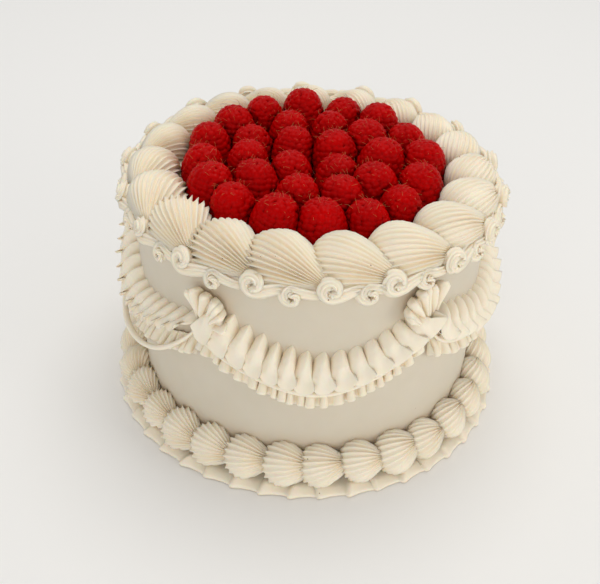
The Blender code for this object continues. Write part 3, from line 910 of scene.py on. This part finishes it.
def drupelet_centres(radius, tall, chance):
    """Uneven staggered rows of places up the dome: azimuth and share of the side of each."""
    rows = round(1.25 * (tall + 0.5 * radius) / DRUPELET)
    twist = chance.uniform(0, 6.28)
    places = []
    for row in range(rows):
        share = (row + 0.35) / rows
        width = float(berry_profile(np.array(share))[0]) * radius
        count = max(1, round(2 * math.pi * width / DRUPELET))
        for step in range(count):
            azimuth = 2 * math.pi * (step + 0.5 * (row % 2) + chance.uniform(-0.18, 0.18)) / count
            wander = 0.035 * math.sin(2 * azimuth + twist) + chance.uniform(-0.022, 0.022)
            places.append((azimuth, share + wander * min(1.0, 3 * (1 - share))))
    places.append((0.0, 0.995))
    return np.array(places)


def berry_points(azimuth, share, radius, tall):
    width, lift = berry_profile(share)
    return np.stack([radius * width * np.cos(azimuth), radius * width * np.sin(azimuth),
                     tall * lift], axis=-1)


def berry_form(u, v, radius, tall, chance):
    azimuth = 2 * math.pi * u
    along = np.clip((v * v.shape[0] - 1) / (v.shape[0] - 2), 0.0, 1.0)
    base = berry_points(azimuth, along, radius, tall)
    centres = drupelet_centres(radius, tall, chance)
    seats = berry_points(centres[:, 0], np.clip(centres[:, 1], 0, 1), radius, tall)
    distance = np.full(base.shape[:2], tall)
    for seat in seats:
        distance = np.minimum(distance, np.linalg.norm(base - seat, axis=-1))
    cushion = np.sqrt(np.clip(1 - (distance / CUSHION_RADIUS) ** 2, 0.0, 1.0))
    normal = surface_normals(base)
    centre = np.array([0, 0, tall * 0.4])
    facing = np.sum(normal * (base - centre), axis=-1, keepdims=True)
    normal = normal * np.sign(facing)
    normal[along >= 0.999] = (0, 0, 1)
    points = base + normal * (CUSHION_HEIGHT * cushion)[..., None]
    points[-1] = points[-1].mean(axis=0)
    points[0] = (0.0, 0.0, 0.0)
    return points, seats


# %% [markdown]
# Every berry stands where its node is, leans a few degrees its own way and differs from its
# neighbours in width and height.

# %% The berries
BERRIES = 30
BERRY_LEAN = 12.0
# The dome is a little wider than its node, and lower, as the cushions stand out past it
DOME_WIDER = 0.7 * MM
DOME_LOWER = 2.0 * MM
BERRY_STEPS = 116
BERRY_ROWS = 76
HAIRY_DRUPELETS = 34
hair_roots = []


def berry(number):
    node = "raspberry_%02d" % number
    low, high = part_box(node)
    chance = random.Random(900 + number)
    centre = Vector(((low[0] + high[0]) / 2, (low[1] + high[1]) / 2, low[2]))
    radius = (high[0] - low[0]) / 2 + DOME_WIDER
    tall = high[2] - low[2] - DOME_LOWER
    lean = Matrix.Rotation(math.radians(chance.uniform(0, BERRY_LEAN)), 4,
                           Vector((math.cos(number * 2.4), math.sin(number * 2.4), 0)))
    spin = Matrix.Rotation(chance.uniform(0, 6.28), 4, "Z")
    turned = np.array((Matrix.Translation(centre) @ lean @ spin))

    def place(u, v):
        points, seats = berry_form(u, v, radius, tall, chance)
        for seat in seats[-HAIRY_DRUPELETS:]:
            hair_roots.append((turned[:3, :3] @ seat + turned[:3, 3],
                               turned[:3, :3] @ (seat - np.array([0, 0, tall * 0.45]))))
        placed = points @ turned[:3, :3].T + turned[:3, 3]
        placed[..., 2] = np.maximum(placed[..., 2], TOP - 0.2 * MM)
        return placed

    piece = rolled_grid("berry_%02d" % number, BERRY_STEPS, BERRY_ROWS, place)
    dress(piece, "raspberry", berry_skin, node)
    return piece


berries = [berry(number) for number in range(1, BERRIES + 1)]
print("berries", sum(len(piece.data.polygons) for piece in berries), "faces")

# %% The hairs
HAIR_SHARE = 0.50
HAIR_RADIUS = 0.055 * MM


def hair(root, outward, chance):
    """The path of a bent thread, up to about 3 mm long, that starts under a drupelet's skin."""
    direction = outward / np.linalg.norm(outward)
    bend = np.array([chance.gauss(0, 1) for axis in range(3)])
    bend = bend - direction * np.dot(bend, direction)
    bend /= max(np.linalg.norm(bend), 1e-6)
    length = chance.uniform(1.2, 2.8) * MM
    share = np.linspace(0, 1, 5)[:, None]
    return root + direction * (1.1 * MM + length * share) + bend * length * 0.8 * share ** 2


hair_chance = random.Random(7)
hair_paths = []
for root, outward in hair_roots:
    if hair_chance.random() < HAIR_SHARE:
        hair_paths.append(hair(root, outward, hair_chance))
hair_curves = bpy.data.curves.new("berry_hairs", "CURVE")
hair_curves.dimensions = "3D"
hair_curves.bevel_depth = HAIR_RADIUS
hair_curves.bevel_resolution = 0
hair_curves.use_fill_caps = True
for path in hair_paths:
    spline = hair_curves.splines.new("POLY")
    spline.points.add(len(path) - 1)
    for point, spot in zip(spline.points, path):
        point.co = (*spot, 1.0)
hairs = bpy.data.objects.new("berry_hairs", hair_curves)
bpy.context.collection.objects.link(hairs)
bpy.ops.object.select_all(action="DESELECT")
hairs.select_set(True)
bpy.context.view_layer.objects.active = hairs
bpy.ops.object.convert(target="MESH")
hairs = bpy.context.object
hairs.data.materials.append(berry_hair)
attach(hairs, "root")
print("hairs", len(hair_paths), len(hairs.data.polygons), "faces")

# %% [markdown]
# ## Stage, light and camera
#
# The photograph was taken in a white studio: a broad soft light above, one on the right, a
# weaker one in front, and white all round. The camera stands half a metre away and looks down
# at 37 degrees.

# %% Floor
bpy.ops.object.select_all(action="DESELECT")
bpy.ops.mesh.primitive_plane_add(size=6, location=(0, 0, -0.0002))
floor = bpy.context.object
floor.name = "floor"
floor_paint, floor_tree, floor_shader = new_material("pale_floor")
floor_shader.inputs["Base Color"].default_value = colour("#f2f1ef")
floor_shader.inputs["Roughness"].default_value = 0.9
floor.data.materials.append(floor_paint)


# %% Light
def soft_light(name, place, size, power, tint):
    data = bpy.data.lights.new(name, "AREA")
    data.shape = "DISK"
    data.size = size
    data.energy = power
    data.color = colour(tint)[:3]
    light = bpy.data.objects.new(name, data)
    light.location = place
    light.rotation_euler = (-Vector(place)).to_track_quat("-Z", "Y").to_euler()
    bpy.context.collection.objects.link(light)


soft_light("overhead", (0.08, 0.30, 1.3), 0.9, 5.8, "#fffdf8")
soft_light("right", (1.25, -0.70, 0.22), 0.7, 4.3, "#fffaf2")
soft_light("front", (-0.25, -1.25, 0.35), 0.9, 2.8, "#fbfcff")

world = bpy.data.worlds.new("white_studio")
world.use_nodes = True
world.node_tree.nodes["Background"].inputs["Color"].default_value = colour("#ffffff")
world.node_tree.nodes["Background"].inputs["Strength"].default_value = 0.61
bpy.context.scene.world = world
bpy.context.scene.view_settings.view_transform = "Standard"

# %% Camera
PHOTO_WIDTH = 600
FOCAL_PIXELS = 1041.4
CAMERA_DISTANCE = 537.3 * MM
CAMERA_ELEVATION = math.radians(37.41)
CAMERA_ROLL = math.radians(1.94)
LOOK_AT = Vector((-4.1 * MM, 0.0, 46.05 * MM))

forward = Vector((0.0, math.cos(CAMERA_ELEVATION), -math.sin(CAMERA_ELEVATION)))
level = Vector((1.0, 0.0, 0.0))
above = level.cross(forward)
right = level * math.cos(CAMERA_ROLL) + above * math.sin(CAMERA_ROLL)
upward = above * math.cos(CAMERA_ROLL) - level * math.sin(CAMERA_ROLL)
camera_data = bpy.data.cameras.new("camera")
camera_data.sensor_width = 36
camera_data.lens = 36 * FOCAL_PIXELS / PHOTO_WIDTH
camera = bpy.data.objects.new("camera", camera_data)
bpy.context.collection.objects.link(camera)
turned_to = Matrix((right, upward, -forward)).transposed().to_4x4()
camera.matrix_world = Matrix.Translation(LOOK_AT - forward * CAMERA_DISTANCE) @ turned_to
bpy.context.scene.camera = camera
print("camera", [round(value, 4) for value in camera.location])
